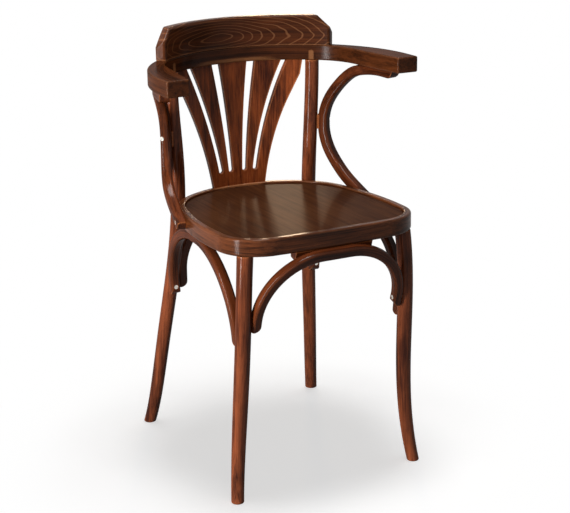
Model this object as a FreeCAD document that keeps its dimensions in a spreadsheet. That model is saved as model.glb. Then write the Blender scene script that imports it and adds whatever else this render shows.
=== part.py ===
import FreeCAD, Part
import itertools
import math
import os
from collections import defaultdict, namedtuple
import Sketcher
from FreeCAD import Matrix, Placement, Rotation, Vector

# Bentwood captains chair, millimetres, +Z up, the sitter faces -Y.
# The origin lies on the floor in the middle of the chair's outer box.

doc = FreeCAD.newDocument("captains_chair")
sheet = doc.addObject("Spreadsheet::Sheet", "sizes")

SIZES = [
    # Seat ring and its plywood panel. The seat falls a little towards the back.
    ("seat_front", -217.5),
    ("seat_under", 449.4),
    ("seat_slope", 1.0),
    ("seat_depth", 393.6),
    ("seat_half_width", 188.0),
    ("seat_widest_from_front", 127.0),
    ("seat_front_radius", 2000.0),
    ("seat_front_corner_radius", 78.0),
    ("seat_side_radius", 620.0),
    ("seat_rear_corner_radius", 130.0),
    ("seat_rear_radius", 200.0),
    ("ring_thick", 30.4),
    ("ring_wide", 40.0),
    ("ring_rim", 13.0),
    ("ring_rebate", 11.5),
    ("ring_round", 4.0),
    ("rim_inner_round", 2.0),
    ("panel_thick", 8.0),
    ("panel_gap", 1.0),
    ("panel_round", 1.5),
    # Front legs: sabre curve in the last hundred millimetres.
    ("front_foot_x", 180.8),
    ("front_foot_y", -185.7),
    ("front_foot_radius", 11.4),
    ("front_ankle_high", 45.0),
    ("front_ankle_x", 175.4),
    ("front_ankle_y", -177.2),
    ("front_ankle_radius", 11.9),
    ("front_shin_high", 98.0),
    ("front_shin_x", 170.3),
    ("front_shin_y", -172.6),
    ("front_shin_radius", 12.6),
    ("front_knee_high", 210.0),
    ("front_knee_x", 163.8),
    ("front_knee_y", -174.8),
    ("front_knee_radius", 13.7),
    ("front_top_x", 154.2),
    ("front_top_y", -181.0),
    ("front_top_radius", 14.3),
    ("front_tenon_radius", 9.0),
    ("front_tenon_high", 16.0),
    # Rear legs run on as the posts that carry the back.
    ("rear_foot_x", 182.0),
    ("rear_foot_y", 217.4),
    ("rear_foot_radius", 12.0),
    ("rear_shin_high", 100.0),
    ("rear_shin_x", 168.9),
    ("rear_shin_y", 195.2),
    ("rear_shin_radius", 12.6),
    ("rear_knee_high", 250.0),
    ("rear_knee_x", 153.4),
    ("rear_knee_y", 169.8),
    ("rear_knee_radius", 13.3),
    ("rear_seat_high", 470.0),
    ("rear_seat_x", 137.6),
    ("rear_seat_y", 138.4),
    ("rear_seat_radius", 13.6),
    ("rear_waist_high", 590.0),
    ("rear_waist_x", 141.4),
    ("rear_waist_y", 135.2),
    ("rear_waist_radius", 13.3),
    ("rear_top_x", 145.0),
    ("rear_top_y", 134.8),
    ("rear_top_radius", 13.0),
    ("rear_tenon_radius", 7.0),
    ("rear_tenon_high", 18.0),
    ("foot_round", 2.0),
    # Arm bow: one bent rail, round the back and forward as both arms.
    ("bow_under", 705.7),
    ("bow_thick", 28.7),
    ("bow_back", 177.9),
    ("bow_inner_radius", 223.5),
    ("bow_back_wide", 20.0),
    ("arm_corner_radius", 115.0),
    ("arm_flare", 7.0),
    ("arm_end_inner", 202.0),
    ("arm_end_y", -83.2),
    ("bow_round", 3.0),
    # Crest rail stands on the bow between the posts.
    ("crest_high", 55.9),
    ("crest_half_angle", 48.0),
    ("crest_end_high", 21.6),
    ("crest_top_half", 152.4),
    ("crest_round", 5.0),
    ("dowel_radius", 4.0),
    ("dowel_long", 38.0),
    # Fan splat: bent plywood, let into the ring below and the bow above.
    ("splat_radius", 243.0),
    ("splat_thick", 8.5),
    ("splat_lean", 3.5),
    ("splat_tongue", 8.0),
    ("splat_set_back", 1.5),
    ("splat_foot_half", 54.3),
    ("splat_middle_half", 73.8),
    ("splat_middle_high", 86.0),
    ("splat_wing_half", 108.2),
    ("splat_wing_high", 171.5),
    ("splat_shoulder_half", 124.0),
    ("splat_shoulder_high", 205.0),
    ("splat_top_half", 129.0),
    ("slot_foot_high", 26.0),
    ("slot_foot_wide", 9.4),
    ("inner_slot_foot", 14.3),
    ("inner_slot_top", 36.5),
    ("inner_slot_top_wide", 17.0),
    ("inner_slot_bend", 2.6),
    ("outer_slot_foot", 35.8),
    ("outer_slot_top", 98.5),
    ("outer_slot_top_wide", 11.4),
    ("outer_slot_bend", 7.4),
    # Bent arm supports: a square stick from the side of the ring, back to the post, and forward under the arm.
    ("support_thick", 20.0),
    ("support_edge_round", 6.0),
    ("support_toe_x", 189.3),
    ("support_toe_y", -0.2),
    ("support_toe_high", 457.0),
    ("support_foot_x", 181.6),
    ("support_foot_y", 53.8),
    ("support_foot_high", 482.5),
    ("support_calf_x", 173.6),
    ("support_calf_y", 99.1),
    ("support_calf_high", 516.5),
    ("support_knee_x", 166.2),
    ("support_knee_y", 117.6),
    ("support_knee_high", 550.0),
    ("support_waist_x", 163.6),
    ("support_waist_y", 122.6),
    ("support_waist_high", 580.0),
    ("support_thigh_x", 167.2),
    ("support_thigh_y", 116.8),
    ("support_thigh_high", 620.0),
    ("support_hip_x", 179.0),
    ("support_hip_y", 98.6),
    ("support_hip_high", 655.0),
    ("support_bend_x", 198.2),
    ("support_bend_y", 66.8),
    ("support_bend_high", 687.5),
    ("support_rest_x", 213.5),
    ("support_rest_y", 26.8),
    ("support_tip_x", 227.0),
    ("support_tip_y", -34.2),
    ("support_toe_turn", 8.0),
    ("support_waist_turn", 32.0),
    ("support_tip_turn", 12.5),
    ("support_tip_round", 15.0),
    ("support_toe_round", 9.0),
    ("spacer_high", 27.0),
    ("spacer_wide", 12.0),
    ("spacer_above_waist", 7.0),
    ("support_bite", 1.0),
    # Bent arches under the seat.
    ("arch_thick", 18.0),
    ("arch_edge_round", 5.0),
    ("arch_tip_round", 15.0),
    ("arch_bite", 1.5),
    ("front_arch_foot_high", 313.0),
    ("front_arch_lean", 16.5),
    ("front_arch_bend_radius", 112.0),
    ("front_arch_press", -0.3),
    ("side_arch_foot_high", 284.0),
    ("side_arch_lean", 5.0),
    ("side_arch_bend_radius", 139.0),
    ("side_arch_press", 1.5),
    ("rear_arch_foot_high", 291.0),
    ("rear_arch_lean", 0.0),
    ("rear_arch_bend_radius", 112.0),
    ("rear_arch_press", 1.5),
    ("block_half_long", 74.0),
    ("block_high", 24.0),
    ("block_deep", 18.0),
    ("block_round", 8.0),
    # Fasteners.
    ("screw_radius", 2.0),
    ("screw_head_radius", 4.0),
    ("screw_head_high", 2.6),
    ("end_screw_long", 32.0),
    ("crown_screw_long", 30.0),
    ("arm_screw_long", 36.0),
    ("middle_screw_long", 40.0),
    ("foot_screw_long", 38.0),
    ("block_screw_long", 32.0),
    ("bolt_radius", 3.0),
    ("bolt_head_radius", 7.0),
    ("bolt_head_high", 3.0),
    ("washer_radius", 8.0),
    ("washer_thick", 1.4),
    ("nut_across", 10.0),
    ("nut_thick", 5.0),
    ("bolt_tail", 3.0),
    ("bolt_head_bevel", 2.0),
    ("bolt_head_sunk", 4.5),
    ("bolt_below_top", 20.5),
    ("washer_bed_deep", 1.0),
    ("bed_clear", 0.4),
    ("screw_sunk", 0.5),
    ("screw_bore_deep", 4.0),
    ("screw_slot_wide", 1.0),
    ("screw_slot_deep", 1.0),
    ("screw_above_tip", 16.0),
    ("foot_screw_from_end", 14.0),
    ("middle_screw_out", 6.5),
    ("middle_screw_above", 11.0),
    ("arm_screw_from_tip", 16.0),
    ("arm_screw_pitch", 26.0),
    ("block_screw_x", 50.0),
    ("crown_screw_x", 25.0),
    ("crown_screw_drop", 12.5),
    ("dowel_inner_angle", 11.0),
    ("dowel_outer_angle", 31.0),
]

for row, (alias, value) in enumerate(SIZES, start=1):
    sheet.set(f"A{row}", alias)
    sheet.set(f"B{row}", str(value))
    sheet.setAlias(f"B{row}", alias)
doc.recompute()


def size(alias):
    return float(sheet.get(alias))


def origin_plane(body, role):
    return next(f for f in body.Origin.OriginFeatures if f.Role == role)


def sketch(body, name, edges, role="XY_Plane", lift=None):
    """Sketch on one of the body's own origin planes, raised along its normal by an expression."""
    made = body.newObject("Sketcher::SketchObject", name)
    made.AttachmentSupport = [(origin_plane(body, role), "")]
    made.MapMode = "FlatFace"
    for edge in edges:
        made.addGeometry(edge)
    if lift:
        made.setExpression("AttachmentOffset.Base.z", lift)
    return made


def pad(body, profile, length):
    made = body.newObject("PartDesign::Pad", profile.Name + "_pad")
    made.Profile = profile
    made.setExpression("Length", length)
    doc.recompute()
    return made


def pocket(body, profile, length=None):
    """Cut against the sketch's normal, right through where no length is given."""
    before = body.Shape.Volume
    made = body.newObject("PartDesign::Pocket", profile.Name + "_pocket")
    made.Profile = profile
    if length:
        made.setExpression("Length", length)
    else:
        made.Type = "ThroughAll"
    doc.recompute()
    if made.Shape.Volume > before - 1.0:
        raise RuntimeError(profile.Name + " cuts nothing")
    return made


def fillet(body, radius, wanted):
    """Round every edge of the body's tip that the test picks."""
    tip = body.Tip
    names = [f"Edge{i}" for i, edge in enumerate(tip.Shape.Edges, start=1) if wanted(edge)]
    made = body.newObject("PartDesign::Fillet", tip.Name + "_round")
    made.Base = (tip, names)
    made.setExpression("Radius", radius)
    doc.recompute()
    return made


def midpoint(edge):
    return edge.valueAt((edge.FirstParameter + edge.LastParameter) / 2)


def level(edge, height):
    """True for an edge that lies at one height."""
    box = edge.BoundBox
    return abs(box.ZMin - height) < 0.01 and abs(box.ZMax - height) < 0.01


def line(a, b):
    return Part.LineSegment(a, b)


def arc(a, b, c):
    return Part.Arc(a, b, c)


def around(centre, radius, degrees):
    turn = math.radians(degrees)
    return centre + Vector(radius * math.cos(turn), radius * math.sin(turn), 0)


def bearing(centre, point):
    return math.degrees(math.atan2(point.y - centre.y, point.x - centre.x))


def arc_about(centre, radius, start, end):
    middle = (start + end) / 2
    return arc(around(centre, radius, start), around(centre, radius, middle), around(centre, radius, end))


def blend_centre(c1, r1, c2, r2, right_of):
    """Centre that lies r1 from c1 and r2 from c2, on the chosen side of the line c1 to c2."""
    gap = c2 - c1
    along = (r1 * r1 - r2 * r2 + gap.Length ** 2) / (2 * gap.Length)
    across = math.sqrt(r1 * r1 - along * along)
    unit = gap.normalize()
    side = Vector(unit.y, -unit.x, 0) if right_of else Vector(-unit.y, unit.x, 0)
    return c1 + unit * along + side * across


def finish(shape_object, label):
    shape_object.Label = label
    parts.append(shape_object)
    return shape_object


def cut(base, tools, name):
    """Take each neighbour's own solid out of the base, so that the two meet face to face."""
    for number, tool in enumerate(tools, start=1):
        made = doc.addObject("Part::Cut", f"{name}_fit_{number}")
        made.Base = base
        made.Tool = tool
        base = made
    return base


def group(solids, label):
    """Identical fasteners share one node and stay separate solids."""
    made = doc.addObject("Part::Compound", label)
    made.Links = solids
    return finish(made, label)


def frame_of(base, x_axis, z_axis):
    """Placement whose own X and Z run along the given directions."""
    x = Vector(x_axis).normalize()
    z = Vector(z_axis).normalize()
    y = z.cross(x)
    return Placement(Matrix(x.x, y.x, z.x, base.x, x.y, y.y, z.y, base.y, x.z, y.z, z.z, base.z, 0, 0, 0, 1))


parts = []
holes = defaultdict(list)
SIDES = (("left", -1), ("right", 1))
Arch = namedtuple("Arch", "body neighbours span rise")
Support = namedtuple("Support", "body toe waist arm_holds")
Station = namedtuple("Station", "centre forward outward")
# Every screw's slot ends up at another angle.
slot_turns = itertools.count(20, 47)
seat_tilt = Placement(
    Vector(0, size("seat_front"), size("seat_under")),
    Rotation(Vector(1, 0, 0), -size("seat_slope")),
)


def seat_outline(inset):
    """Closed outline of the seat, drawn in by the inset. Its y runs back from the front edge."""
    front_r = size("seat_front_radius")
    side_r = size("seat_side_radius")
    rear_r = size("seat_rear_radius")
    corner_r = size("seat_front_corner_radius")
    heel_r = size("seat_rear_corner_radius")
    front = Vector(0, front_r, 0)
    side = Vector(size("seat_half_width") - side_r, size("seat_widest_from_front"), 0)
    rear = Vector(0, size("seat_depth") - rear_r, 0)
    corner = blend_centre(front, front_r - corner_r, side, side_r - corner_r, False)
    heel = blend_centre(rear, rear_r - heel_r, side, side_r - heel_r, True)
    if corner.y > side.y:
        corner = blend_centre(front, front_r - corner_r, side, side_r - corner_r, True)
    if heel.y < side.y:
        heel = blend_centre(rear, rear_r - heel_r, side, side_r - heel_r, False)
    turns = [bearing(front, corner), bearing(side, corner), bearing(side, heel), bearing(rear, heel)]
    rings = [(corner, corner_r), (side, side_r), (heel, heel_r)]
    edges = [arc_about(front, front_r - inset, -180 - turns[0], turns[0])]
    for (centre, radius), start, end in zip(rings, turns, turns[1:]):
        edges.append(arc_about(centre, radius - inset, start, end))
    edges.append(arc_about(rear, rear_r - inset, turns[3], 180 - turns[3]))
    for (centre, radius), start, end in reversed(list(zip(rings, turns, turns[1:]))):
        mirrored = Vector(-centre.x, centre.y, 0)
        edges.append(arc_about(mirrored, radius - inset, 180 - end, 180 - start))
    return edges, heel


def make_seat_ring():
    body = doc.addObject("PartDesign::Body", "ring_blank")
    body.Placement = seat_tilt
    pad(body, sketch(body, "ring_outside", seat_outline(0)[0]), "sizes.ring_thick")
    opening = sketch(body, "ring_opening", seat_outline(size("ring_wide"))[0], lift="sizes.ring_thick")
    pocket(body, opening)
    rebate = sketch(body, "ring_rebate", seat_outline(size("ring_rim"))[0], lift="sizes.ring_thick")
    pocket(body, rebate, "sizes.ring_rebate")
    top = size("ring_thick")
    middle_of_rim = [g.toShape() for g in seat_outline(size("ring_rim") / 2)[0]]
    inside = Part.Face(Part.Wire(Part.__sortEdges__(middle_of_rim)))

    def on_outside(edge):
        point = midpoint(edge)
        return not inside.isInside(Vector(point.x, point.y, 0), 0.01, True)

    fillet(body, "sizes.ring_round", lambda e: (level(e, top) or level(e, 0)) and on_outside(e))
    fillet(body, "sizes.rim_inner_round", lambda e: level(e, top) and not on_outside(e) and e.Length > 20)
    return body


def make_seat_panel():
    body = doc.addObject("PartDesign::Body", "seat_panel")
    lift = Placement(Vector(0, 0, size("ring_thick") - size("ring_rebate")), Rotation())
    body.Placement = seat_tilt.multiply(lift)
    outline = seat_outline(size("ring_rim") + size("panel_gap"))[0]
    pad(body, sketch(body, "panel_outline", outline), "sizes.panel_thick")
    fillet(body, "sizes.panel_round", lambda e: level(e, size("panel_thick")))
    return body


def seat_under_at(y):
    return size("seat_under") - (y - size("seat_front")) * math.tan(math.radians(size("seat_slope")))


def ring_section(body, name, side, x, y, z, radius, tilt=0.0):
    """Round section of a leg, set out by expressions of its height, place and radius."""
    made = sketch(body, name, [Part.Circle(Vector(0, 0, 0), Vector(0, 0, 1), size(radius))])
    made.addConstraint(Sketcher.Constraint("Radius", 0, size(radius)))
    made.setExpression("Constraints[0]", "sizes." + radius)
    made.AttachmentOffset = Placement(Vector(), Rotation(Vector(1, 0, 0), -tilt))
    made.setExpression("AttachmentOffset.Base.x", f"{side} * sizes.{x}")
    made.setExpression("AttachmentOffset.Base.y", "sizes." + y)
    made.setExpression("AttachmentOffset.Base.z", z)
    return made


LEG_SECTIONS = {
    "front": ("foot", "ankle", "shin", "knee", "top"),
    "rear": ("foot", "shin", "knee", "seat", "waist", "top"),
}


def section_height(kind, station):
    """Height of a leg's section, as an expression of the sheet's sizes."""
    if station == "foot":
        return "0"
    if station != "top":
        return f"sizes.{kind}_{station}_high"
    if kind == "rear":
        return "sizes.bow_under"
    return "sizes.seat_under - (sizes.front_top_y - sizes.seat_front) * tan(sizes.seat_slope * 1deg)"


def make_leg(kind, side_name, side):
    """Loft through round sections, with a turned tenon on the last one and a rounded foot."""
    name = f"{kind}_leg_{side_name}"
    body = doc.addObject("PartDesign::Body", name + "_blank")
    tilt = size("seat_slope") if kind == "front" else 0.0
    sections = []
    for station in LEG_SECTIONS[kind]:
        place = [f"{kind}_{station}_x", f"{kind}_{station}_y", section_height(kind, station)]
        lean = tilt if station == "top" else 0.0
        sections.append(ring_section(body, f"{name}_{station}", side, *place, f"{kind}_{station}_radius", lean))
    doc.recompute()
    shaft = body.newObject("PartDesign::AdditiveLoft", name + "_shaft")
    shaft.Profile = sections[0]
    shaft.Sections = [(section, [""]) for section in sections[1:]]
    doc.recompute()
    tenon = ring_section(body, name + "_tenon", side, *place, f"{kind}_tenon_radius", tilt)
    pad(body, tenon, f"sizes.{kind}_tenon_high")
    fillet(body, "sizes.foot_round", lambda e: level(e, 0) and e.Length > 10)
    return body


def leg_at(leg, height):
    """Centre and radius of a leg's own section at a height."""
    section = leg.Shape.slice(Vector(0, 0, 1), height)[0]
    box = section.optimalBoundingBox(False)
    return Vector(box.Center.x, box.Center.y, height), box.XLength / 2


def bow_centre():
    return Vector(0, size("bow_back") - size("bow_inner_radius"), 0)


def bow_outline():
    """Horseshoe outline: round back, then the inside turns a tight corner so that the arms widen."""
    centre = bow_centre()
    inner = size("bow_inner_radius")
    outer = inner + size("bow_back_wide")
    corner_r = size("arm_corner_radius")
    flare = math.radians(size("arm_flare"))
    end = Vector(size("arm_end_inner"), size("arm_end_y"), 0)
    along = Vector(-math.sin(flare), math.cos(flare), 0)
    inward = Vector(-math.cos(flare), -math.sin(flare), 0)
    # The corner's centre keeps its radius from the arm's inner edge and inner - corner_r from the bow's centre.
    start = end + inward * corner_r - centre
    half_b = start.dot(along)
    reach = -half_b + math.sqrt(half_b ** 2 - start.dot(start) + (inner - corner_r) ** 2)
    corner = end + inward * corner_r + along * reach
    turn = bearing(centre, corner)
    tangent = end + along * reach
    edges = [arc_about(centre, inner, turn, 180 - turn)]
    edges.append(arc_about(corner, corner_r, math.degrees(flare), turn))
    edges.append(line(tangent, end))
    edges.append(line(end, Vector(outer, end.y, 0)))
    edges.append(line(Vector(outer, end.y, 0), Vector(outer, centre.y, 0)))
    edges.append(arc_about(centre, outer, 0, 180))
    edges.append(line(Vector(-outer, centre.y, 0), Vector(-outer, end.y, 0)))
    edges.append(line(Vector(-outer, end.y, 0), Vector(-end.x, end.y, 0)))
    edges.append(line(Vector(-end.x, end.y, 0), Vector(-tangent.x, tangent.y, 0)))
    edges.append(arc_about(Vector(-corner.x, corner.y, 0), corner_r, 180 - turn, 180 - math.degrees(flare)))
    return edges


def make_arm_bow():
    body = doc.addObject("PartDesign::Body", "bow_blank")
    pad(body, sketch(body, "bow_plan", bow_outline(), lift="sizes.bow_under"), "sizes.bow_thick")
    fillet(body, "sizes.bow_round", lambda e: True)
    return body


def make_crest():
    body = doc.addObject("PartDesign::Body", "crest_blank")
    centre = bow_centre()
    inner = size("bow_inner_radius")
    outer = inner + size("bow_back_wide")
    start = 90 - size("crest_half_angle")
    stop = 180 - start
    band = [
        arc_about(centre, inner, start, stop),
        line(around(centre, inner, stop), around(centre, outer, stop)),
        arc_about(centre, outer, start, stop),
        line(around(centre, outer, start), around(centre, inner, start)),
    ]
    foot = size("bow_under") + size("bow_thick")
    top = foot + size("crest_high")
    pad(body, sketch(body, "crest_plan", band, lift="sizes.bow_under + sizes.bow_thick"), "sizes.crest_high")
    tip = around(centre, outer, start).x
    slope = (tip - size("crest_top_half")) / (size("crest_high") - size("crest_end_high"))
    for side in (-1, 1):
        low = Vector(side * (tip + 1), foot + size("crest_end_high") - 1 / slope, 0)
        high = Vector(side * (size("crest_top_half") - 1), top + 1 / slope, 0)
        far = Vector(side * (tip + 1), top + 1 / slope, 0)
        ear = [line(low, high), line(high, far), line(far, low)]
        pocket(body, sketch(body, f"crest_ear_{side + 1}", ear, "XZ_Plane"))
    fillet(body, "sizes.crest_round", lambda e: midpoint(e).z > foot + 1)
    return body


def slot_outline(foot, top, top_wide, bend, high):
    """Tapered slot between two curved sides, with a half-round foot."""
    low = size("slot_foot_high") + size("slot_foot_wide") / 2
    middle = (low + high) / 2
    half_foot = size("slot_foot_wide") / 2
    half_top = top_wide / 2
    half_middle = (half_foot + half_top) / 2
    waist = (foot + top) / 2 - bend
    left_foot = Vector(foot - half_foot, low, 0)
    right_foot = Vector(foot + half_foot, low, 0)
    left_top = Vector(top - half_top, high, 0)
    right_top = Vector(top + half_top, high, 0)
    return [
        arc(left_foot, Vector(waist - half_middle, middle, 0), left_top),
        line(left_top, right_top),
        arc(right_foot, Vector(waist + half_middle, middle, 0), right_top),
        arc(left_foot, Vector(foot, low - half_foot, 0), right_foot),
    ]


def mirrored_edges(edges):
    made = []
    for edge in edges:
        points = [edge.StartPoint, edge.value((edge.FirstParameter + edge.LastParameter) / 2), edge.EndPoint]
        points = [Vector(-p.x, p.y, 0) for p in points]
        made.append(line(points[0], points[2]) if isinstance(edge, Part.LineSegment) else arc(*points))
    return made


def splat_side(high):
    tongue = size("splat_tongue")
    foot = Vector(size("splat_foot_half"), 0, 0)
    wing = Vector(size("splat_wing_half"), size("splat_wing_high"), 0)
    shoulder = Vector(size("splat_shoulder_half"), size("splat_shoulder_high"), 0)
    top = Vector(size("splat_top_half"), high, 0)
    return [
        line(foot - Vector(0, tongue, 0), foot),
        arc(foot, Vector(size("splat_middle_half"), size("splat_middle_high"), 0), wing),
        line(wing, shoulder),
        line(shoulder, top),
        line(top, top + Vector(0, tongue, 0)),
    ]


def make_splat():
    """Bent plywood: a plain curved sheet, then its fan outline and four slots are cut through it."""
    body = doc.addObject("PartDesign::Body", "back_splat")
    radius = size("splat_radius")
    tongue = size("splat_tongue")
    lean = math.radians(size("splat_lean"))
    front_top = Vector(0, size("bow_back") + size("splat_set_back"), size("bow_under"))
    fall = size("seat_depth") * math.sin(math.radians(size("seat_slope")))
    seat_top = size("seat_under") + size("ring_thick") - fall
    high = (front_top.z - seat_top) / math.cos(lean)
    tilt = Rotation(Vector(1, 0, 0), -size("splat_lean"))
    body.Placement = Placement(front_top - tilt.multVec(Vector(0, radius, high)), tilt)
    half = math.degrees(math.asin(size("splat_top_half") / radius)) + 3
    back = radius + size("splat_thick")
    centre = Vector()
    band = [
        arc_about(centre, radius, 90 - half, 90 + half),
        line(around(centre, radius, 90 + half), around(centre, back, 90 + half)),
        arc_about(centre, back, 90 - half, 90 + half),
        line(around(centre, back, 90 - half), around(centre, radius, 90 - half)),
    ]
    sheet_of_ply = sketch(body, "splat_band", band)
    sheet_of_ply.AttachmentOffset = Placement(Vector(0, 0, -tongue), Rotation())
    sheet.set(f"A{len(SIZES) + 1}", "splat_length")
    sheet.set(f"B{len(SIZES) + 1}", str(high + 2 * tongue))
    sheet.setAlias(f"B{len(SIZES) + 1}", "splat_length")
    doc.recompute()
    pad(body, sheet_of_ply, "sizes.splat_length")
    right = splat_side(high)
    left = mirrored_edges(right)
    foot = Vector(size("splat_foot_half"), -tongue, 0)
    head = Vector(size("splat_top_half"), high + tongue, 0)
    across = [line(Vector(-foot.x, foot.y, 0), foot), line(head, Vector(-head.x, head.y, 0))]
    wide = back
    low = foot.y - tongue
    tall = head.y + tongue
    corners = [Vector(-wide, low, 0), Vector(wide, low, 0), Vector(wide, tall, 0), Vector(-wide, tall, 0)]
    frame = [line(a, b) for a, b in zip(corners, corners[1:] + corners[:1])]
    pocket(body, sketch(body, "splat_fan", frame + right + left + across, "XZ_Plane"))
    slots = []
    for place in ("inner", "outer"):
        slot = slot_outline(
            size(place + "_slot_foot"),
            size(place + "_slot_top"),
            size(place + "_slot_top_wide"),
            size(place + "_slot_bend"),
            high,
        )
        slots += slot + mirrored_edges(slot)
    pocket(body, sketch(body, "splat_slots", slots, "XZ_Plane"))
    return body


def rounded_square(centre, wide, radius):
    """Square section with rounded corners, lines and arcs in turn."""
    half = wide / 2
    flat = half - radius
    edges = []
    for quarter in range(4):
        turn = Rotation(Vector(0, 0, 1), 90 * quarter)
        points = [(half, -flat), (half, flat), (flat, half)]
        start, stop, after = (centre + turn.multVec(Vector(x, y, 0)) for x, y in points)
        corner = centre + turn.multVec(Vector(flat, flat, 0))
        edges.append(line(start, stop))
        edges.append(arc(stop, around(corner, radius, 45 + 90 * quarter), after))
    return edges


def round_tip(body, name, corner, out, across, radius, reach):
    """Cut one corner of a stick's end to a quarter round. Both directions point away from the wood."""
    place = frame_of(corner, out, out.cross(across))
    edges = [
        line(Vector(-radius, 0, 0), Vector(-radius, 1, 0)),
        line(Vector(-radius, 1, 0), Vector(1, 1, 0)),
        line(Vector(1, 1, 0), Vector(1, -radius, 0)),
        line(Vector(1, -radius, 0), Vector(0, -radius, 0)),
        arc_about(Vector(-radius, -radius, 0), radius, 0, 90),
    ]
    made = sketch(body, name, edges)
    made.AttachmentOffset = place.multiply(Placement(Vector(0, 0, reach), Rotation()))
    doc.recompute()
    pocket(body, made)


def bend_pipe(body, name, section, path):
    """Square section carried along a path of straights and tangent arcs."""
    doc.recompute()
    made = body.newObject("PartDesign::AdditivePipe", name)
    made.Profile = section
    made.Spine = (path, [f"Edge{i + 1}" for i in range(len(path.Shape.Edges))])
    made.Mode = "Standard"
    doc.recompute()
    return made


def make_arch(name, span, rise, bend):
    """Arch in its own XZ plane, its feet at z 0 and its crown's top at the rise."""
    body = doc.addObject("PartDesign::Body", name + "_bend")
    thick = size("arch_thick")
    half = span / 2 - thick / 2
    leg = rise - thick / 2 - bend
    right = Vector(half - bend, leg, 0)
    left = Vector(bend - half, leg, 0)
    path = sketch(body, name + "_path", [
        line(Vector(-half, 0, 0), Vector(-half, leg, 0)),
        arc_about(left, bend, 90, 180),
        line(Vector(left.x, leg + bend, 0), Vector(right.x, leg + bend, 0)),
        arc_about(right, bend, 0, 90),
        line(Vector(half, leg, 0), Vector(half, 0, 0)),
    ], "XZ_Plane")
    profile = rounded_square(Vector(-half, 0, 0), thick, size("arch_edge_round"))
    bend_pipe(body, name + "_pipe", sketch(body, name + "_section", profile), path)
    for end in (-1, 1):
        corner = Vector(end * (half - thick / 2), 0, 0)
        tip_name = f"{name}_tip_{end + 1}"
        round_tip(body, tip_name, corner, Vector(-end, 0, 0), Vector(0, 0, -1), size("arch_tip_round"), thick)
    return body


SUPPORT_STATIONS = ("toe", "foot", "calf", "knee", "waist", "thigh", "hip", "bend", "rest", "tip")
SUPPORT_SECTIONS = 15


def support_stations(side):
    """Sections evenly along a smooth line through the support's named places, then those at its waist and
    at its two screws into the arm. Each has its centre, its direction and the way its outer face looks."""
    run_high = size("bow_under") - size("support_thick") / 2 + size("support_bite")
    places = []
    for name in SUPPORT_STATIONS:
        high = run_high if name in ("rest", "tip") else size(f"support_{name}_high")
        places.append(Vector(side * size(f"support_{name}_x"), size(f"support_{name}_y"), high))
    curve = Part.BSplineCurve()
    curve.interpolate(Points=places, InitialTangent=places[1] - places[0], FinalTangent=places[-1] - places[-2])
    first = curve.FirstParameter
    last = curve.LastParameter
    waist = curve.parameter(places[SUPPORT_STATIONS.index("waist")])

    def station(at):
        if at < waist:
            share, turns = (at - first) / (waist - first), ("toe", "waist")
        else:
            share, turns = (at - waist) / (last - waist), ("waist", "tip")
        start, stop = (size(f"support_{turn}_turn") for turn in turns)
        turn = math.radians(start + (stop - start) * share)
        looks = Vector(side * math.cos(turn), math.sin(turn), 0)
        centre, forward = curve.getD1(at)
        forward.normalize()
        return Station(centre, forward, (looks - forward * looks.dot(forward)).normalize())

    def station_along(reach):
        return station(curve.parameterAtDistance(reach, first))

    long = curve.length()
    row = [station_along(long * number / (SUPPORT_SECTIONS - 1)) for number in range(SUPPORT_SECTIONS)]
    front_hold = long - size("arm_screw_from_tip")
    arm_holds = [station_along(front_hold), station_along(front_hold - size("arm_screw_pitch"))]
    return row, station(waist), arm_holds


def make_support(side_name, side):
    """Arm support, a loft through rounded square sections, with its tip and toe rounded."""
    name = "arm_support_" + side_name
    body = doc.addObject("PartDesign::Body", name + "_bend")
    thick = size("support_thick")
    row, waist, arm_holds = support_stations(side)
    sections = []
    for number, station in enumerate(row, start=1):
        section = sketch(body, f"{name}_{number}", rounded_square(Vector(), thick, size("support_edge_round")))
        section.AttachmentOffset = frame_of(station.centre, station.outward, station.forward)
        sections.append(section)
    doc.recompute()
    stick = body.newObject("PartDesign::AdditiveLoft", name + "_stick")
    stick.Profile = sections[0]
    stick.Sections = [(section, [""]) for section in sections[1:]]
    doc.recompute()
    toe, tip = row[0], row[-1]
    down = Vector(0, 0, -1)
    corner = tip.centre + down * (thick / 2)
    round_tip(body, name + "_tip_round", corner, tip.forward, down, size("support_tip_round"), thick)
    upward = toe.outward.cross(toe.forward) * -side
    corner = toe.centre + upward * (thick / 2)
    round_tip(body, name + "_toe_round", corner, -toe.forward, upward, size("support_toe_round"), thick)
    return Support(body, toe, waist, arm_holds)


def place_arch(name, kind, legs, start, stop):
    """Arch between two feet, leaning out to its own right so that its crown comes up to the ring."""
    run = (stop - start).normalize()
    outward = Vector(run.y, -run.x, 0)
    foot = (start + stop) * 0.5
    lean = math.radians(size(kind + "_arch_lean"))
    up = outward * math.sin(lean) + Vector(0, 0, 1) * math.cos(lean)
    crown_y = foot.y + outward.y * math.tan(lean) * (size("seat_under") - foot.z)
    half = size("arch_thick") / 2
    edge = size("arch_edge_round")
    top = (half - edge) * (math.cos(lean) + math.sin(lean)) + edge
    rise = (seat_under_at(crown_y) + size(kind + "_arch_press") - foot.z - top) / math.cos(lean) + half
    span = (stop - start).Length
    body = make_arch(name, span, rise, size(kind + "_arch_bend_radius"))
    body.Placement = frame_of(foot, run, up)
    neighbours = legs + [ring] if size(kind + "_arch_press") > 0 else legs
    return Arch(body, neighbours, span, rise)


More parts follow.
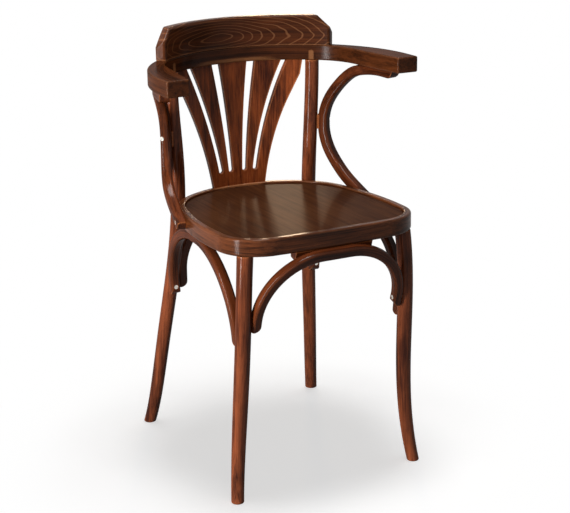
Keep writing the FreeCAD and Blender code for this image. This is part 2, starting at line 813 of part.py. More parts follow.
def arch_between(name, first_leg, second_leg, kind):
    """Feet pressed a little into both legs, so that the legs' own rounds shape their seats."""
    foot_high = size(kind + "_arch_foot_high")
    first, first_radius = leg_at(first_leg, foot_high + size("screw_above_tip"))
    second, second_radius = leg_at(second_leg, foot_high + size("screw_above_tip"))
    first.z = foot_high
    second.z = foot_high
    run = (second - first).normalize()
    start = first + run * (first_radius - size("arch_bite"))
    stop = second - run * (second_radius - size("arch_bite"))
    return place_arch(name, kind, [first_leg, second_leg], start, stop)


def make_spacer(side_name, post, support):
    """Block on the line from the post's axis to the support's waist."""
    waist = support.waist.centre
    axis, _ = leg_at(post, waist.z)
    made = doc.addObject("Part::Box", "spacer_block_" + side_name)
    made.Length = (waist - axis).Length
    made.setExpression("Width", "sizes.spacer_wide")
    made.setExpression("Height", "sizes.spacer_high")
    place = frame_of(axis, waist - axis, Vector(0, 0, 1))
    shift = Vector(0, -size("spacer_wide") / 2, size("spacer_above_waist") - size("spacer_high") / 2)
    made.Placement = place.multiply(Placement(shift, Rotation()))
    return made


def make_block():
    """Straight block against the back of the front arch's crown, its two lower corners rounded."""
    body = doc.addObject("PartDesign::Body", "block_blank")
    half = size("block_half_long")
    high = size("block_high")
    corners = [Vector(-half, -high, 0), Vector(half, -high, 0), Vector(half, 0, 0), Vector(-half, 0, 0)]
    edges = [line(a, b) for a, b in zip(corners, corners[1:] + corners[:1])]
    pad(body, sketch(body, "block_face", edges, "XZ_Plane"), "sizes.block_deep")
    fillet(body, "sizes.block_round", lambda e: e.BoundBox.YLength > 1 and midpoint(e).z < -1)
    front = arches["front_arch"]
    back_face = Vector(0, size("arch_thick") / 2 + size("block_deep"), front.rise)
    body.Placement = front.body.Placement.multiply(Placement(back_face, Rotation()))
    return body


def cylinder(name, radius, height, place):
    made = doc.addObject("Part::Cylinder", name)
    made.setExpression("Radius", radius)
    made.setExpression("Height", height)
    made.Placement = place
    return made


def pointing(base, direction):
    """Placement at a point whose own Z runs in a direction."""
    return Placement(base, Rotation(Vector(0, 0, 1), direction))


def wood_screw(name, face, direction, long, through):
    """Slotted countersunk screw, its head just below a face. The pieces it goes through get its hole."""
    turn = Rotation(Vector(0, 0, 1), next(slot_turns))
    place = pointing(face + direction * size("screw_sunk"), direction).multiply(Placement(Vector(), turn))
    shank = cylinder(name + "_shank", "sizes.screw_radius", "sizes." + long, place)
    cone = doc.addObject("Part::Cone", name + "_cone")
    cone.setExpression("Radius1", "sizes.screw_head_radius")
    cone.setExpression("Radius2", "sizes.screw_radius")
    cone.setExpression("Height", "sizes.screw_head_high")
    cone.Placement = place
    plain = doc.addObject("Part::Fuse", name + "_plain")
    plain.Base = shank
    plain.Tool = cone
    slot = doc.addObject("Part::Box", name + "_slot")
    slot.setExpression("Length", "sizes.screw_head_radius * 2")
    slot.setExpression("Width", "sizes.screw_slot_wide")
    slot.setExpression("Height", "sizes.screw_slot_deep")
    corner = Vector(-size("screw_head_radius"), -size("screw_slot_wide") / 2, 0)
    slot.Placement = place.multiply(Placement(corner, Rotation()))
    back = place.multiply(Placement(Vector(0, 0, -size("screw_bore_deep")), Rotation()))
    bore = cylinder(name + "_bore", "sizes.screw_head_radius", "sizes.screw_bore_deep", back)
    for piece in through:
        holes[piece].append(plain)
    holes[through[0]].append(bore)
    return cut(plain, [slot], name)


def arch_screws(name, legs):
    """Two screws from the arch's feet out into the legs."""
    arch = arches[name]
    place = arch.body.Placement
    made = []
    for end, leg in zip((-1, 1), legs):
        face = Vector(end * (arch.span / 2 - size("arch_thick")), 0, size("screw_above_tip"))
        direction = place.Rotation.multVec(Vector(end, 0, 0))
        screw_name = f"{name}_end_screw_{end + 2}"
        made.append(wood_screw(screw_name, place.multVec(face), direction, "end_screw_long", (name, leg)))
    return made


def crown_screws(name):
    """Two screws up through the arch's crown into the ring."""
    arch = arches[name]
    place = arch.body.Placement
    made = []
    for end in (-1, 1):
        face = Vector(end * size("crown_screw_x"), 0, arch.rise - size("arch_thick"))
        direction = place.Rotation.multVec(Vector(0, 0, 1))
        pieces = (name, "seat_ring")
        screw_name = f"{name}_crown_screw_{end + 2}"
        made.append(wood_screw(screw_name, place.multVec(face), direction, "crown_screw_long", pieces))
    return made


def block_screws():
    """Two screws forward through the block into the front arch, and two up through the block into the ring."""
    front = arches["front_arch"]
    place = front.body.Placement
    deep = size("block_deep")
    face_y = size("arch_thick") / 2
    forward = []
    upward = []
    for end in (-1, 1):
        face = Vector(end * size("crown_screw_x"), face_y + deep, front.rise - size("crown_screw_drop"))
        direction = place.Rotation.multVec(Vector(0, -1, 0))
        pieces = ("front_arch_block", "front_arch")
        name = f"front_arch_crown_screw_{end + 2}"
        forward.append(wood_screw(name, place.multVec(face), direction, "crown_screw_long", pieces))
        face = Vector(end * size("block_screw_x"), face_y + deep / 2, front.rise - size("block_high"))
        direction = place.Rotation.multVec(Vector(0, 0, 1))
        pieces = ("front_arch_block", "seat_ring")
        name = f"block_screw_{end + 2}"
        upward.append(wood_screw(name, place.multVec(face), direction, "block_screw_long", pieces))
    return forward, upward


def support_screws(side_name, side):
    """Screws of one arm support: two up into the arm, one from its waist into the post, one into the ring."""
    support = supports[side_name]
    name = "arm_support_" + side_name
    half = size("support_thick") / 2
    up = Vector(0, 0, 1)
    top = []
    for number, hold in enumerate(support.arm_holds, start=1):
        screw_name = f"{side_name}_arm_screw_{number}"
        top.append(wood_screw(screw_name, hold.centre - up * half, up, "arm_screw_long", (name, "arm_bow")))
    waist = support.waist
    ahead = waist.outward.cross(waist.forward) * side
    face = waist.centre + ahead * half + waist.outward * size("middle_screw_out")
    face += up * size("middle_screw_above")
    post, _ = leg_at(rear_legs[side_name], face.z)
    inward = (post - face).normalize()
    pieces = (name, "support_spacer_" + side_name, "rear_leg_" + side_name)
    middle = wood_screw(side_name + "_middle_screw", face, inward, "middle_screw_long", pieces)
    toe = support.toe
    face = toe.centre + toe.forward * size("foot_screw_from_end") + toe.outward * half
    foot = wood_screw(side_name + "_foot_screw", face, -toe.outward, "foot_screw_long", (name, "seat_ring"))
    return top, middle, foot


def post_bolt(side_name, side):
    """Bolt through the post and the ring, square to the ring's outline, with a washer and a nut inside."""
    heel = seat_outline(0)[1]
    middle = seat_tilt.multVec(Vector(side * heel.x, heel.y, size("ring_thick") - size("bolt_below_top")))
    post, post_radius = leg_at(rear_legs[side_name], middle.z)
    out = Vector(post.x - middle.x, post.y - middle.y, 0).normalize()
    out = (out + Vector(0, 0, -out.y * math.tan(math.radians(size("seat_slope"))))).normalize()
    edge = middle + out * size("seat_rear_corner_radius")
    head = (post - middle).Length - size("seat_rear_corner_radius") + post_radius - size("bolt_head_sunk")
    inside = size("ring_wide") - size("washer_bed_deep")

    def at(reach):
        return pointing(edge + out * reach, out)

    end = inside + size("washer_thick") + size("nut_thick") + size("bolt_tail")
    name = "rear_leg_" + side_name
    shank = doc.addObject("Part::Cylinder", name + "_bolt_shank")
    shank.setExpression("Radius", "sizes.bolt_radius")
    shank.Height = head + end
    shank.Placement = at(-end)
    crown = doc.addObject("Part::Cone", name + "_bolt_head")
    crown.setExpression("Radius1", "sizes.bolt_head_radius")
    crown.setExpression("Radius2", "sizes.bolt_head_radius - sizes.bolt_head_bevel")
    crown.setExpression("Height", "sizes.bolt_head_high")
    crown.Placement = at(head)
    bolt = doc.addObject("Part::Fuse", name + "_bolt")
    bolt.Base = shank
    bolt.Tool = crown
    disc = cylinder(
        name + "_washer_disc", "sizes.washer_radius", "sizes.washer_thick", at(-inside - size("washer_thick")))
    hexagon = doc.addObject("Part::Prism", name + "_nut_blank")
    hexagon.Polygon = 6
    hexagon.setExpression("Circumradius", "sizes.nut_across / sqrt(3)")
    hexagon.setExpression("Height", "sizes.nut_thick")
    hexagon.Placement = at(-inside - size("washer_thick") - size("nut_thick"))
    counterbore = cylinder(
        name + "_counterbore", "sizes.bolt_head_radius + sizes.bed_clear", "sizes.bolt_head_sunk * 3", at(head))
    bed = cylinder(
        name + "_washer_bed", "sizes.washer_radius + sizes.bed_clear", "sizes.washer_bed_deep * 3",
        at(-inside - 3 * size("washer_bed_deep")))
    holes[name] += [bolt, counterbore]
    holes["seat_ring"] += [bolt, bed]
    return bolt, cut(disc, [bolt], name + "_washer"), cut(hexagon, [bolt], name + "_nut")


def crest_dowels():
    """Dowels half in the bow and half in the crest."""
    radius = size("bow_inner_radius") + size("bow_back_wide") / 2
    low = size("bow_under") + size("bow_thick") - size("dowel_long") / 2
    made = []
    for angle in ("inner", "outer"):
        for side_name, side in SIDES:
            spot = around(bow_centre(), radius, 90 - side * size(f"dowel_{angle}_angle")) + Vector(0, 0, low)
            name = f"{angle}_dowel_{side_name}"
            made.append(cylinder(name, "sizes.dowel_radius", "sizes.dowel_long", Placement(spot, Rotation())))
    holes["arm_bow"] += made
    holes["crest_rail"] += made
    return made


def fit(label, blank, neighbours=()):
    """Piece as it is fitted: its own fastener holes and its neighbours' solids are taken out."""
    return finish(cut(blank, holes[label] + list(neighbours), label), label)


# Blanks in their places.

ring = make_seat_ring()
finish(make_seat_panel(), "seat_panel")
bow = make_arm_bow()
crest = make_crest()
splat = finish(make_splat(), "back_splat")
front_legs = {name: make_leg("front", name, side) for name, side in SIDES}
rear_legs = {name: make_leg("rear", name, side) for name, side in SIDES}
supports = {name: make_support(name, side) for name, side in SIDES}
spacers = {name: make_spacer(name, rear_legs[name], supports[name]) for name, _ in SIDES}
arches = {
    "front_arch": arch_between("front_arch", front_legs["left"], front_legs["right"], "front"),
    "rear_arch": arch_between("rear_arch", rear_legs["right"], rear_legs["left"], "rear"),
    "left_arch": arch_between("left_arch", rear_legs["left"], front_legs["left"], "side"),
    "right_arch": arch_between("right_arch", front_legs["right"], rear_legs["right"], "side"),
}
block = make_block()

# Fasteners. Each also leaves its hole in the pieces that it goes through.

end_screws = arch_screws("front_arch", ("front_leg_left", "front_leg_right"))
end_screws += arch_screws("rear_arch", ("rear_leg_right", "rear_leg_left"))
end_screws += arch_screws("left_arch", ("rear_leg_left", "front_leg_left"))
end_screws += arch_screws("right_arch", ("front_leg_right", "rear_leg_right"))
group(end_screws, "arch_end_screws")
forward_screws, upward_screws = block_screws()
crowns = forward_screws + crown_screws("rear_arch") + crown_screws("left_arch") + crown_screws("right_arch")
group(crowns, "arch_crown_screws")
group(upward_screws, "front_block_screws")
sets = [support_screws(name, side) for name, side in SIDES]
group(sets[0][0] + sets[1][0], "support_top_screws")
group([screws[1] for screws in sets], "support_middle_screws")
group([screws[2] for screws in sets], "support_foot_screws")
bolts = [post_bolt(name, side) for name, side in SIDES]
group([pieces[0] for pieces in bolts], "rear_leg_bolts")
group([pieces[1] for pieces in bolts], "rear_leg_washers")
group([pieces[2] for pieces in bolts], "rear_leg_nuts")
group(crest_dowels(), "crest_dowels")

# Wooden pieces, each fitted to its neighbours.

fit("seat_ring", ring, list(front_legs.values()) + [splat])
fit("arm_bow", bow, list(rear_legs.values()) + [splat])
fit("crest_rail", crest)
fit("front_arch_block", block, [ring])
for name, arch in arches.items():
    fit(name, arch.body, arch.neighbours)
for name, _ in SIDES:
    fit("front_leg_" + name, front_legs[name])
    fit("rear_leg_" + name, rear_legs[name], [ring])
    fit("arm_support_" + name, supports[name].body, [bow, ring])
    fit("support_spacer_" + name, spacers[name], [rear_legs[name], supports[name].body])

doc.recompute()

# Check everything, then write one file for each piece.

for made in doc.Objects:
    if "Invalid" in made.State or "Error" in made.State:
        raise RuntimeError(f"{made.Name} failed: {made.State}")
    if made.isDerivedFrom("Part::Cut") and made.Shape.Volume > made.Base.Shape.Volume - 0.01:
        raise RuntimeError(f"{made.Name} cuts nothing")
for piece in parts:
    shape = piece.Shape
    if shape.isNull() or not shape.isValid():
        raise RuntimeError(f"{piece.Label} is not a sound shape")
    expected = len(piece.Links) if piece.isDerivedFrom("Part::Compound") else 1
    if len(shape.Solids) != expected:
        raise RuntimeError(f"{piece.Label} has {len(shape.Solids)} solids, not {expected}")

os.makedirs("parts", exist_ok=True)
for piece in parts:
    piece.Shape.exportStep(os.path.join("parts", piece.Label + ".step"))
print(len(parts), "pieces written")
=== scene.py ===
"""Looks of the bentwood captains chair: stained beech, a lacquered seat and steel screws.

The grain of each wooden piece follows its bend. Lengths are in metres unless a comment says otherwise.
"""

import math
from collections import namedtuple

import bpy
from mathutils import Matrix, Vector


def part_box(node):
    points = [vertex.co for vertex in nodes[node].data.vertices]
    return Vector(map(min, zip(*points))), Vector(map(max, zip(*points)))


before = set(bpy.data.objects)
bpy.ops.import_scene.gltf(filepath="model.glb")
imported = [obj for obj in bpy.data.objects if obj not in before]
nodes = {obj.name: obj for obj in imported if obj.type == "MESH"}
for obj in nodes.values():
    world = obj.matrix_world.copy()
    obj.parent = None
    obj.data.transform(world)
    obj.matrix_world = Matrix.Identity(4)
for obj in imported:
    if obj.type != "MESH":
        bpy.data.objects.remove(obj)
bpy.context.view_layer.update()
scene = bpy.context.scene

X = Vector((1, 0, 0))
Y = Vector((0, 1, 0))
Z = Vector((0, 0, 1))
WHITE = (1.0, 1.0, 1.0)

# Camera, in metres and degrees. The lens and its sensor are in millimetres.

CAMERA_AT = Vector((-1.1340, -2.2431, 1.1609))
CAMERA_YAW = -27.0915
CAMERA_PITCH = 17.4045
CAMERA_ROLL = -0.7393
LENS = 90.35
SENSOR = 36.0


def make_camera():
    yaw, pitch, roll = (math.radians(v) for v in (CAMERA_YAW, CAMERA_PITCH, CAMERA_ROLL))
    back = Vector((math.sin(yaw) * math.cos(pitch), -math.cos(yaw) * math.cos(pitch), math.sin(pitch)))
    level = Vector((math.cos(yaw), math.sin(yaw), 0))
    up = back.cross(level)
    right = math.cos(roll) * level + math.sin(roll) * up
    top = math.cos(roll) * up - math.sin(roll) * level
    lens = bpy.data.cameras.new("camera")
    lens.lens = LENS
    lens.sensor_width = SENSOR
    camera = bpy.data.objects.new("camera", lens)
    turned = Matrix((right, top, back)).transposed().to_4x4()
    camera.matrix_world = Matrix.Translation(CAMERA_AT) @ turned
    scene.collection.objects.link(camera)
    scene.camera = camera


# Shader graphs.

MIX_FACTOR, MIX_A, MIX_B, MIX_RESULT = 0, 6, 7, 2  # sockets of a Mix node that mixes colours


class Graph:
    """Short ways to add shader nodes to one tree. All but feed give back a node or an output socket."""

    def __init__(self, tree):
        self.tree = tree

    def node(self, kind, **settings):
        made = self.tree.nodes.new(kind)
        for name, value in settings.items():
            setattr(made, name, value)
        return made

    def feed(self, socket, value):
        if isinstance(value, bpy.types.NodeSocket):
            self.tree.links.new(value, socket)
        else:
            socket.default_value = value

    def object_point(self):
        return self.node("ShaderNodeTexCoord").outputs["Object"]

    def math(self, operation, a, b=0.0):
        made = self.node("ShaderNodeMath", operation=operation)
        self.feed(made.inputs[0], a)
        self.feed(made.inputs[1], b)
        return made.outputs[0]

    def vector(self, operation, a, b=(0, 0, 0)):
        made = self.node("ShaderNodeVectorMath", operation=operation)
        self.feed(made.inputs[0], a)
        self.feed(made.inputs[1], b)
        return made.outputs["Value" if operation in ("DOT_PRODUCT", "LENGTH") else "Vector"]

    def join(self, x, y, z):
        made = self.node("ShaderNodeCombineXYZ")
        for socket, value in zip(made.inputs, (x, y, z)):
            self.feed(socket, value)
        return made.outputs[0]

    def noise(self, place, layer):
        """One layer of noise, with its own scale along x and across it."""
        made = self.node("ShaderNodeTexNoise")
        scale = (layer.along, layer.across, layer.across)
        self.feed(made.inputs["Vector"], self.vector("MULTIPLY", place, scale))
        made.inputs["Scale"].default_value = 1.0
        made.inputs["Detail"].default_value = layer.detail
        made.inputs["Roughness"].default_value = layer.rough
        return made.outputs["Fac"]

    def span(self, value, low, high, new_low=0.0, new_high=1.0):
        """Carry a value smoothly from one range to another, held at its ends."""
        made = self.node("ShaderNodeMapRange", interpolation_type="SMOOTHSTEP")
        for socket, entry in zip(made.inputs, (value, low, high, new_low, new_high)):
            self.feed(socket, entry)
        return made.outputs[0]

    def length(self, a, b):
        """Length of the hypotenuse over two sides."""
        return self.math("SQRT", self.math("ADD", self.math("MULTIPLY", a, a), self.math("MULTIPLY", b, b)))

    def beyond(self, value, limit):
        """How far a value lies past a limit, or 0."""
        return self.math("MAXIMUM", self.math("SUBTRACT", value, limit), 0.0)

    def mix(self, factor, a, b):
        made = self.node("ShaderNodeMix", data_type="RGBA", blend_type="MIX")
        self.feed(made.inputs[MIX_FACTOR], factor)
        for socket, value in ((made.inputs[MIX_A], a), (made.inputs[MIX_B], b)):
            self.feed(socket, value if isinstance(value, bpy.types.NodeSocket) else (*value, 1.0))
        return made.outputs[MIX_RESULT]


# Grain spaces. Each turns a point of the chair into (along the grain, across it, through it).


def straight(g, point, origin, along, across):
    """A straight piece: along and across are directions, and through is square to both."""
    along = Vector(along).normalized()
    through = along.cross(Vector(across)).normalized()
    across = through.cross(along)
    local = g.vector("SUBTRACT", point, origin)
    return g.join(*(g.vector("DOT_PRODUCT", local, axis) for axis in (along, across, through)))


def bent(g, point, centre, crown, side, radius, flat=0.0):
    """A bent piece: its crown lies from the centre in one direction, and its two ends lie to both sides."""
    crown = Vector(crown).normalized()
    through = Vector(side).cross(crown).normalized()
    side = crown.cross(through)
    local = g.vector("SUBTRACT", point, centre)
    x = g.vector("DOT_PRODUCT", local, side)
    y = g.vector("DOT_PRODUCT", local, crown)
    far = g.math("ABSOLUTE", x)
    over = g.beyond(far, flat)
    rise = g.math("MAXIMUM", y, 0.0)
    turn = g.math("ARCTAN2", over, rise)
    reach = g.math("ADD", g.math("MULTIPLY", turn, radius), g.math("MINIMUM", far, flat))
    reach = g.math("SUBTRACT", reach, g.math("MINIMUM", y, 0.0))
    return g.join(
        g.math("MULTIPLY", reach, g.math("SIGN", x)),
        g.vector("DOT_PRODUCT", local, through),
        g.math("SUBTRACT", g.length(over, rise), radius),
    )


def rounded(g, point, centre, half_wide, half_deep, radius):
    """A closed ring with rounded corners, level with the floor."""
    local = g.vector("SUBTRACT", point, centre)
    parts = g.node("ShaderNodeSeparateXYZ")
    g.feed(parts.inputs[0], local)
    x, y, z = parts.outputs
    over_x = g.beyond(g.math("ABSOLUTE", x), half_wide)
    over_y = g.beyond(g.math("ABSOLUTE", y), half_deep)
    turn = g.math("ARCTAN2", y, x)
    out = g.math("SUBTRACT", g.length(over_x, over_y), radius)
    return g.join(g.math("MULTIPLY", turn, half_wide + radius), z, out)


# Beech. Noise scales are in waves to the metre, along the grain and across it.

Noise = namedtuple("Noise", "along across detail rough")
WANDER = Noise(11.0, 34.0, 2.0, 0.5)
FIBRES = Noise(9.0, 520.0, 4.0, 0.6)
BANDS = Noise(3.2, 120.0, 3.0, 0.6)
FLECKS = Noise(140.0, 1500.0, 1.0, 0.5)
CLOUD = Noise(7.0, 16.0, 3.0, 0.55)
RING_PITCH = 0.0045
RING_WANDER = 0.008  # how far the growth rings stray
RING_STRETCH = (0.20, 1.0, 1.0)  # the rings are five times as long as they are wide
RING_LINE = (0.80, 1.0)
FLECK_SPAN = (0.58, 0.72)
FIBRE_SHARE, BAND_SHARE = 0.45, 0.55


def make_grain_group():
    """Growth rings cut by the surface, fine fibres, short dark flecks, and clouds of darker stain."""
    tree = bpy.data.node_groups.new("beech_grain", "ShaderNodeTree")
    for name in ("Place", "Seed", "Heart"):
        tree.interface.new_socket(name, in_out="INPUT", socket_type="NodeSocketVector")
    for name in ("Rings", "Fibres", "Flecks", "Cloud"):
        tree.interface.new_socket(name, in_out="OUTPUT", socket_type="NodeSocketFloat")
    g = Graph(tree)
    source = g.node("NodeGroupInput")
    result = g.node("NodeGroupOutput")
    place = g.vector("ADD", source.outputs["Place"], source.outputs["Seed"])
    from_heart = g.vector("SUBTRACT", source.outputs["Place"], source.outputs["Heart"])
    depth = g.vector("LENGTH", g.vector("MULTIPLY", from_heart, RING_STRETCH))
    depth = g.math("ADD", depth, g.math("MULTIPLY", g.noise(place, WANDER), RING_WANDER))
    wave = g.math("SINE", g.math("MULTIPLY", depth, 2 * math.pi / RING_PITCH))
    fibres = g.math("MULTIPLY", g.noise(place, FIBRES), FIBRE_SHARE)
    bands = g.math("MULTIPLY", g.noise(place, BANDS), BAND_SHARE)
    g.feed(result.inputs["Rings"], g.span(wave, *RING_LINE))
    g.feed(result.inputs["Fibres"], g.math("ADD", fibres, bands))
    g.feed(result.inputs["Flecks"], g.span(g.noise(place, FLECKS), *FLECK_SPAN))
    g.feed(result.inputs["Cloud"], g.noise(place, CLOUD))
    return tree


grain_group = make_grain_group()


def rgb(text):
    """Linear colour from a screen colour such as 3a1f12."""
    values = [int(text[i:i + 2], 16) / 255 for i in (0, 2, 4)]
    return tuple(v / 12.92 if v <= 0.04045 else ((v + 0.055) / 1.055) ** 2.4 for v in values)


# Deep is the colour where the stain sits darkest, open where it is thinnest, and line that of the growth
# rings and of the convex edges, which are lighter partly from rubbed wear and partly as a painted
# highlight.
Stain = namedtuple("Stain", "deep open line line_strength rough relief specular coat coat_rough")
STAINS = {
    "crest": Stain("150702", "4a2410", "8a5a3a", 0.36, 0.40, 0.25, 0.02, 0.12, 0.20),
    "walnut": Stain("130602", "4c2611", "8a5a38", 0.00, 0.40, 0.25, 0.0, 0.12, 0.20),
    "ring": Stain("150702", "5c3018", "9a6440", 0.00, 0.40, 0.25, 0.02, 0.16, 0.14),
    "dark": Stain("190804", "602e16", "9c5a30", 0.00, 0.38, 0.25, 0.0, 0.16, 0.13),
    "splat": Stain("280d06", "88421f", "b06a3c", 0.05, 0.38, 0.25, 0.03, 0.12, 0.18),
    "red": Stain("240c07", "804226", "b06a3c", 0.00, 0.38, 0.25, 0.0, 0.16, 0.13),
    "seat": Stain("261209", "402413", "4a2a16", 0.00, 0.45, 0.05, 0.0, 0.055, 0.28),
    "plain": Stain("a8865c", "cdb083", "b8945f", 0.20, 0.60, 0.20, 0.3, 0.0, 0.2),
}

SEED_STEP = (1.0, 0.37, 0.71)  # how one seed number moves the grain in its three directions
TONE_FIBRES, TONE_CLOUD = 0.65, 0.35  # shares of fibres and cloud in the tone
TONE_SPAN = (0.34, 0.66)  # tones over which the deep colour turns into the open one
FLECK_STRENGTH = 0.35
# Convex edges, found by occlusion inside the wood, are lightened: partly wear, partly a painted highlight.
EDGE_REACH = 0.003
EDGE_SAMPLES = 6
EDGE_SPAN = (0.95, 0.45)  # occlusion inside the wood, from a flat face to a sharp edge
EDGE_WEAR_AND_HIGHLIGHT = 0.60
FIBRE_SPAN = (0.3, 0.7)
ROUGH_SPREAD = 0.06  # more than the stain's roughness in deep fibres, and less on high ones
WARM_TINT = (1.0, 0.55, 0.36, 1.0)
RELIEF_DEEP = 0.0004
FLECK_RELIEF = 0.5  # how deep the flecks lie against the fibres


def new_material(name):
    """A material with its graph, its shader and the point of the chair that is shaded."""
    material = bpy.data.materials.new(name)
    material.use_nodes = True
    g = Graph(material.node_tree)
    return material, g, material.node_tree.nodes["Principled BSDF"], g.object_point()


def wood(name, stain, seed, heart, space, *where):
    """Stained and lacquered beech whose grain follows one grain space."""
    stain = STAINS[stain]
    deep, open_grain, line = (rgb(text) for text in (stain.deep, stain.open, stain.line))
    material, g, shader, point = new_material(name)
    grain = g.node("ShaderNodeGroup", node_tree=grain_group)
    g.feed(grain.inputs["Place"], space(g, point, *where))
    grain.inputs["Seed"].default_value = tuple(seed * step for step in SEED_STEP)
    grain.inputs["Heart"].default_value = heart
    rings, fibres, flecks, cloud = (grain.outputs[n] for n in ("Rings", "Fibres", "Flecks", "Cloud"))
    tone = g.math("ADD", g.math("MULTIPLY", fibres, TONE_FIBRES), g.math("MULTIPLY", cloud, TONE_CLOUD))
    colour = g.mix(g.span(tone, *TONE_SPAN), deep, open_grain)
    colour = g.mix(g.math("MULTIPLY", rings, stain.line_strength), colour, line)
    colour = g.mix(g.math("MULTIPLY", flecks, FLECK_STRENGTH), colour, deep)
    # Convex edges turn lighter: partly rubbed wear that lets more of the wood show, partly a painted
    # highlight where light catches them.
    edge = g.node("ShaderNodeAmbientOcclusion", inside=True, samples=EDGE_SAMPLES)
    edge.inputs["Distance"].default_value = EDGE_REACH
    wear_and_edge_highlight = g.span(edge.outputs["AO"], *EDGE_SPAN)
    colour = g.mix(g.math("MULTIPLY", wear_and_edge_highlight, EDGE_WEAR_AND_HIGHLIGHT), colour, line)
    rough = g.span(fibres, *FIBRE_SPAN, stain.rough + ROUGH_SPREAD, stain.rough - ROUGH_SPREAD)
    g.feed(shader.inputs["Base Color"], colour)
    g.feed(shader.inputs["Roughness"], rough)
    shader.inputs["Specular IOR Level"].default_value = stain.specular
    shader.inputs["Specular Tint"].default_value = WARM_TINT
    shader.inputs["Coat Weight"].default_value = stain.coat
    shader.inputs["Coat Roughness"].default_value = stain.coat_rough
    bump = g.node("ShaderNodeBump")
    bump.inputs["Strength"].default_value = stain.relief
    bump.inputs["Distance"].default_value = RELIEF_DEEP
    g.feed(bump.inputs["Height"], g.math("SUBTRACT", fibres, g.math("MULTIPLY", flecks, FLECK_RELIEF)))
    g.feed(shader.inputs["Normal"], bump.outputs[0])
    return material


ZINC_DULL, ZINC_BRIGHT = rgb("b8b4ab"), rgb("dcdad4")
ZINC_PATCHES = Noise(900.0, 900.0, 4.0, 0.6)
ZINC_SPAN = (0.3, 0.7)
ZINC_ROUGH = (0.22, 0.45)


def steel():
    """Bright zinc, duller and rougher in fine patches."""
    material, g, shader, point = new_material("zinc_steel")
    patches = g.noise(point, ZINC_PATCHES)
    g.feed(shader.inputs["Base Color"], g.mix(patches, ZINC_DULL, ZINC_BRIGHT))
    g.feed(shader.inputs["Roughness"], g.span(patches, *ZINC_SPAN, *ZINC_ROUGH))
    shader.inputs["Metallic"].default_value = 1.0
    return material


def dress(name, material):
    """Give every material slot of one CAD node the finished material."""
    for slot in nodes[name].material_slots:
        slot.material = material


def middle(name):
    low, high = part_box(name)
    return (low + high) / 2


# Wooden pieces. Each has its stain, its seed, where the log's heart lies in its grain space, and that
# space with its values.

BOW_CENTRE = (0.0, -0.0456, 0.720)
BOW_RADIUS = 0.2335
BOW_SPACE = (bent, BOW_CENTRE, Y, X, BOW_RADIUS)
RING_CENTRE = (0.0, -0.024, 0.46)
RING_HALF_WIDE, RING_HALF_DEEP = 0.078, 0.087  # out to where the corners' curves begin
RING_CORNER_RADIUS = 0.100
RING_SPACE = (rounded, RING_CENTRE, RING_HALF_WIDE, RING_HALF_DEEP, RING_CORNER_RADIUS)
SUPPORT_BEND_RADIUS = 0.122
STICK_HEART = (0.0, 0.02, -0.02)
SPACER_SEED = 45.0

SINGLE = {
    "arm_bow": ("walnut", 3.0, (0.05, -0.030, -0.02), *BOW_SPACE),
    "crest_rail": ("crest", 7.0, (-0.045, 0.034, -0.0016), *BOW_SPACE),
    "seat_ring": ("ring", 11.0, (0.0, -0.03, -0.03), *RING_SPACE),
    "seat_panel": ("seat", 13.0, (0.0, 0.0, -0.05), straight, (0, 0, 0.467), Y, X),
    "back_splat": ("splat", 17.0, (0.1, 0.0, -0.03), straight, (0, 0.176, 0.6), Z, X),
    "front_arch_block": ("dark", 27.0, (0.0, 0.01, -0.02), straight, middle("front_arch_block"), X, Z),
    "crest_dowels": ("plain", 51.0, (0.0, 0.02, 0.01), straight, (0, 0.17, 0.73), Z, X),
}

# Pieces in pairs. The place and the first direction are the right one's, and the left one mirrors them.
PAIRS = {
    "front_leg": ("red", 31.0, (0.2, 0.02, 0.01), straight, (0.165, -0.177, 0.2), (-0.04, -0.01, 1), X),
    "rear_leg": ("red", 35.0, (0.3, 0.02, 0.01), straight, (0.155, 0.171, 0.25), (-0.06, -0.10, 1), X),
    "arm_support": (
        "dark", 41.0, STICK_HEART, bent, (0.19, 0.003, 0.579), (-0.2, 1, 0), Z, SUPPORT_BEND_RADIUS),
}

# Each arch faces outward, leans by some degrees and turns its corners at a radius.
ARCH_SEED = 20.0
ARCH_HEART = (0.0, 0.01, -0.02)
ARCH_HALF_THICK = 0.009
ARCHES = {
    "front_arch": (-Y, 16.5, 0.112),
    "rear_arch": (Y, 0, 0.112),
    "left_arch": (-X, 5, 0.139),
    "right_arch": (X, 5, 0.139),
}


def arch_space(name, outward, lean, bend):
    """Centre, crown, side, radius and flat of the bent grain space of an arch."""
    low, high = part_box(name)
    lean = math.radians(lean)
    side = Z.cross(outward)
    crown = outward * math.sin(lean) + Z * math.cos(lean)
    half = abs(side.dot(high - low)) / 2
    centre = (low + high) / 2
    centre.z = high.z - ARCH_HALF_THICK - bend * math.cos(lean)
    return centre, crown, side, bend, max(half - bend - ARCH_HALF_THICK, 0.0)


def on_side(vector, side):
    """A vector of the right side as it is there, or mirrored for the left."""
    x, y, z = vector
    return side * x, y, z


def dress_chair():
    pieces = dict(SINGLE)
    for number, (name, shape) in enumerate(ARCHES.items()):
        pieces[name] = ("dark", ARCH_SEED + number, ARCH_HEART, bent, *arch_space(name, *shape))
    for number, (hand, side) in enumerate((("left", -1), ("right", 1))):
        for name, (stain, seed, heart, space, place, direction, *rest) in PAIRS.items():
            where = (on_side(place, side), on_side(direction, side), *rest)
            pieces[f"{name}_{hand}"] = (stain, seed + number, heart, space, *where)
        spacer = "support_spacer_" + hand
        pieces[spacer] = ("dark", SPACER_SEED + number, STICK_HEART, straight, middle(spacer), Z, X)
    for name, facts in pieces.items():
        dress(name, wood(name, *facts))
    zinc = steel()
    for name in nodes:
        if name.endswith(("_screws", "_bolts", "_washers", "_nuts")):
            dress(name, zinc)


# Studio: a white floor and world that keep the chair's shadow, and soft lamps.

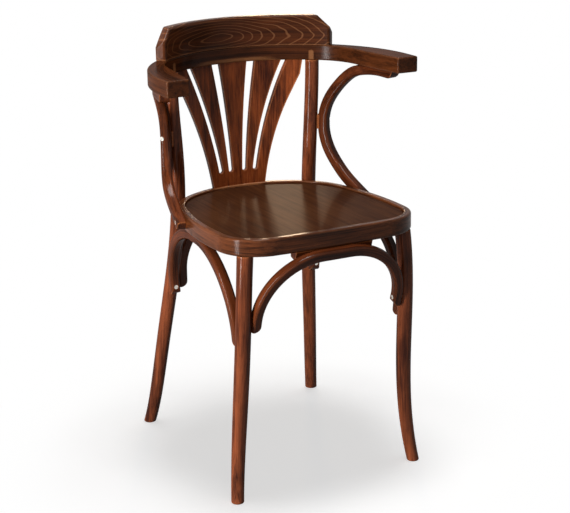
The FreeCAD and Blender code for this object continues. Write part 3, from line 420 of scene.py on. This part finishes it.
FLOOR_REACH = 30.0
FLOOR_GREY = (0.52, 0.52, 0.52, 1)
FLOOR_GLOW = 0.61
FLOOR_FADE = (0.28, 0.60)  # from the chair's middle: the floor turns from shaded to pure white
WORLD_LIGHT, WORLD_SEEN = 0.10, 1.0


def seen_directly(g):
    """1 for what the camera, a reflection or a clear surface shows, 0 for light that only bounces."""
    path = g.node("ShaderNodeLightPath")
    seen = g.math("MAXIMUM", path.outputs["Is Camera Ray"], path.outputs["Is Glossy Ray"])
    return g.math("MAXIMUM", seen, path.outputs["Is Transmission Ray"])


def make_floor():
    """White floor, also in reflections. It shows its own shade only near the chair, under the shadow."""
    mesh = bpy.data.meshes.new("floor")
    corners = [(x * FLOOR_REACH, y * FLOOR_REACH, 0) for x, y in ((-1, -1), (1, -1), (1, 1), (-1, 1))]
    mesh.from_pydata(corners, [], [(0, 1, 2, 3)])
    floor = bpy.data.objects.new("floor", mesh)
    scene.collection.objects.link(floor)
    material = bpy.data.materials.new("floor")
    material.use_nodes = True
    tree = material.node_tree
    g = Graph(tree)
    tree.nodes.remove(tree.nodes["Principled BSDF"])
    seen = seen_directly(g)
    far = g.span(g.vector("LENGTH", g.object_point()), *FLOOR_FADE)
    shade = g.node("ShaderNodeBsdfDiffuse")
    shade.inputs["Color"].default_value = FLOOR_GREY
    glow = g.node("ShaderNodeEmission")
    g.feed(glow.inputs["Strength"], g.math("MULTIPLY", seen, FLOOR_GLOW))
    near = g.node("ShaderNodeAddShader")
    g.feed(near.inputs[0], shade.outputs[0])
    g.feed(near.inputs[1], glow.outputs[0])
    white = g.node("ShaderNodeEmission")
    white.inputs["Strength"].default_value = 1.0
    both = g.node("ShaderNodeMixShader")
    g.feed(both.inputs[0], g.math("MULTIPLY", seen, far))
    g.feed(both.inputs[1], near.outputs[0])
    g.feed(both.inputs[2], white.outputs[0])
    g.feed(tree.nodes["Material Output"].inputs["Surface"], both.outputs[0])
    mesh.materials.append(material)


def make_world():
    world = bpy.data.worlds.new("studio")
    world.use_nodes = True
    scene.world = world
    g = Graph(world.node_tree)
    back = world.node_tree.nodes["Background"]
    back.inputs["Color"].default_value = (*WHITE, 1)
    g.feed(back.inputs["Strength"], g.span(seen_directly(g), 0.0, 1.0, WORLD_LIGHT, WORLD_SEEN))


# Sizes are in metres and power is in watts.
Lamp = namedtuple("Lamp", "place target wide tall power colour")
LAMPS = {
    "overhead": Lamp((0.05, -0.05, 2.5), (0.0, 0.0, 0.0), 0.7, 0.7, 40.0, WHITE),
    "key": Lamp((-1.6, -0.42, 0.85), (0.0, 0.0, 0.55), 0.3, 1.7, 66.0, WHITE),
    "front": Lamp((-1.2, -3.2, 1.5), (0.0, 0.0, 0.5), 1.2, 1.2, 10.0, WHITE),
    "behind": Lamp((1.33, 2.61, 1.22), (0.0, 0.0, 0.45), 0.28, 0.22, 8.0, (1.0, 0.72, 0.45)),
}


def make_lamp(name, lamp):
    light = bpy.data.lights.new(name, "AREA")
    light.shape = "RECTANGLE"
    light.size = lamp.wide
    light.size_y = lamp.tall
    light.energy = lamp.power
    light.color = lamp.colour
    made = bpy.data.objects.new(name, light)
    made.location = lamp.place
    made.rotation_euler = (Vector(lamp.target) - Vector(lamp.place)).to_track_quat("-Z", "Y").to_euler()
    scene.collection.objects.link(made)
    return made


def make_lamps():
    """The key leaves the floor out, so its long shadow doesn't fall there."""
    made = {name: make_lamp(name, lamp) for name, lamp in LAMPS.items()}
    left_out = bpy.data.collections.new("floor_left_out")
    left_out.objects.link(bpy.data.objects["floor"])
    left_out.collection_objects[0].light_linking.link_state = "EXCLUDE"
    made["key"].light_linking.receiver_collection = left_out


make_camera()
dress_chair()
make_floor()
make_world()
make_lamps()
scene.view_settings.view_transform = "Standard"
